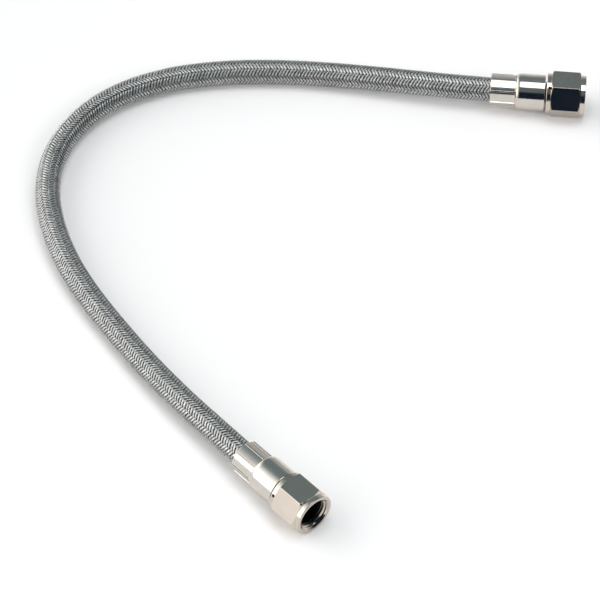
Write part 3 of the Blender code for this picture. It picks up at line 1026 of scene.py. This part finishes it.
def nut_thread(nut):
    """The internal thread: a groove wound round the bore, cut into by the mouth's chamfer."""
    start = nut.land_length + nut.relief_length
    major, minor = nut.thread_major / 2, nut.thread_minor / 2
    end = nut_length(nut) - (nut.mouth_diameter / 2 - major)
    pitch = nut.thread_pitch
    angle = 2 * pi * np.arange(BORE_COLUMNS + 1) / BORE_COLUMNS
    # Crest, flank and root, by their share of the pitch
    profile = [(0.0, minor), (0.18, minor), (0.56, major), (0.66, major)]
    turns = int((end - start) / pitch) + 2
    rows = []
    for turn in range(-1, turns):
        for share, radius in profile:
            z = np.clip(start + (turn + share + angle / (2 * pi)) * pitch, start, end)
            r = np.maximum(radius, major - (end - z))
            r = np.where(z <= start, major, r)
            rows.append(ring(r, angle, z))
    return grid_mesh("thread", np.array(rows), close_columns=False)


def nut_inside(nut):
    """The relief behind the thread, the shoulder that holds the tail, and the land."""
    relief = nut.thread_major / 2 + RELIEF_DEPTH
    start = nut.land_length + nut.relief_length
    land = nut.land_diameter / 2
    outline = [
        (nut.thread_major / 2, start), (relief, start), (relief, nut.land_length),
        (land, nut.land_length), (land, nut.rear_shoulder)]
    return grid_mesh("inside", turned_rows(outline, BORE_COLUMNS))


def nut_rear_ring(nut, turn):
    """The rear shoulder as a ring with the loading hole drilled into it."""
    shoulder, land = nut.shoulder_diameter / 2, nut.land_diameter / 2
    wire = nut.hole_from_rear
    halfway = WIRE_CHANNEL * HALFWAY
    outline = rounded_outline([
        (shoulder, nut.rear_shoulder, 0), (land, nut.rear_shoulder, 0),
        (land + halfway, wire + halfway, 0), (land + WIRE_CHANNEL, wire, 0),
        (land + halfway, wire - halfway, 0), (land, wire - WIRE_CHANNEL, 0),
        (land, 0.0, RIM), (shoulder, 0.0, nut.edge)])
    mesh = grid_mesh("rear", turned_rows(outline, RING_COLUMNS), close_rows=True)
    outward(mesh)
    drill_mesh = bpy.data.meshes.new("drill")
    shape = bmesh.new()
    bmesh.ops.create_cone(
        shape, cap_ends=True, segments=DRILL_SIDES, radius1=nut.hole_diameter / 2,
        radius2=nut.hole_diameter / 2, depth=shoulder)
    shape.to_mesh(drill_mesh)
    shape.free()
    rear = bpy.data.objects.new("rear", mesh)
    drill = bpy.data.objects.new("drill", drill_mesh)
    for scratch in (rear, drill):
        bpy.context.scene.collection.objects.link(scratch)
    drill.matrix_world = (
        Matrix.Rotation(turn, 4, "Z")
        @ Matrix.Translation((land + DRILL_STOP + shoulder / 2, 0, wire))
        @ Matrix.Rotation(pi / 2, 4, "Y"))
    cut = rear.modifiers.new("drilled", "BOOLEAN")
    cut.operation = "DIFFERENCE"
    cut.solver = "EXACT"
    cut.object = drill
    bpy.context.view_layer.update()
    drilled = rear.evaluated_get(bpy.context.evaluated_depsgraph_get())
    result = bpy.data.meshes.new_from_object(drilled)
    for scratch in (rear, drill):
        data = scratch.data
        bpy.data.objects.remove(scratch)
        bpy.data.meshes.remove(data)
    return result


class LEADERHOSE_OT_nuts(Operator):
    """Make the two swivel nuts with their chamfers, threads and loading holes"""
    bl_idname = "leader_hose.nuts"
    bl_label = "Make Swivel Nuts"

    def execute(self, context):
        nut = context.scene.leader_hose.nut
        material = plated_steel(
            "bright_plated_milled_steel", nut.colour, roughness=0.13, line_spacing=0.0003,
            line_strength=0.1, speck=0.88)
        length = nut_length(nut)
        # The nut's inside gets painted shade deeper in
        inner = shaded_thread_steel(
            nut.colour, nut.inner_shade_colour, length - BRIGHT_THREAD, length - DARK_THREAD)
        for end, turn in (("a", nut.hole_turn_a), ("b", nut.hole_turn_b)):
            inside = [nut_thread(nut), nut_inside(nut)]
            for mesh in inside:
                mesh.polygons.foreach_set("material_index", [1] * len(mesh.polygons))
            body = joined("body", [nut_shell(nut), *inside])
            outward(body)
            mesh = joined("nut_" + end, [body, nut_rear_ring(nut, turn)])
            smooth_faces(mesh, sharp_angle=radians(25))
            matrix = fitting_frame(end) @ Matrix.Translation((0, 0, nut.rear))
            piece = place(mesh, material, ENDS[end]["body"], matrix)
            mesh.materials.append(inner)
            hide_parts("swivel_nut_" + end)
        return {"FINISHED"}


class LEADERHOSE_PT_panel(Panel):
    """Lists the pieces of the leader hose"""
    bl_label = "Leader Hose"
    bl_idname = "LEADERHOSE_PT_panel"
    bl_space_type = "VIEW_3D"
    bl_region_type = "UI"
    bl_category = "Leader Hose"

    def draw(self, context):
        for operator in OPERATORS:
            self.layout.operator(operator.bl_idname)


OPERATORS = (
    LEADERHOSE_OT_stage,
    LEADERHOSE_OT_braid,
    LEADERHOSE_OT_liner,
    LEADERHOSE_OT_collars,
    LEADERHOSE_OT_tails,
    LEADERHOSE_OT_thrust_wires,
    LEADERHOSE_OT_nuts,
)
CLASSES = (
    HoseSettings,
    CollarSettings,
    TailSettings,
    NutSettings,
    StageSettings,
    LeaderHoseSettings,
    *OPERATORS,
    LEADERHOSE_PT_panel,
)


def register():
    for cls in CLASSES:
        bpy.utils.register_class(cls)
    bpy.types.Scene.leader_hose = PointerProperty(
        name="Leader Hose", description="Sizes and colours", type=LeaderHoseSettings)


def unregister():
    del bpy.types.Scene.leader_hose
    for cls in reversed(CLASSES):
        bpy.utils.unregister_class(cls)


def main():
    register()
    bpy.ops.leader_hose.stage()
    bpy.ops.leader_hose.braid()
    bpy.ops.leader_hose.liner()
    bpy.ops.leader_hose.collars()
    bpy.ops.leader_hose.tails()
    bpy.ops.leader_hose.thrust_wires()
    bpy.ops.leader_hose.nuts()


if __name__ == "__main__":
    main()
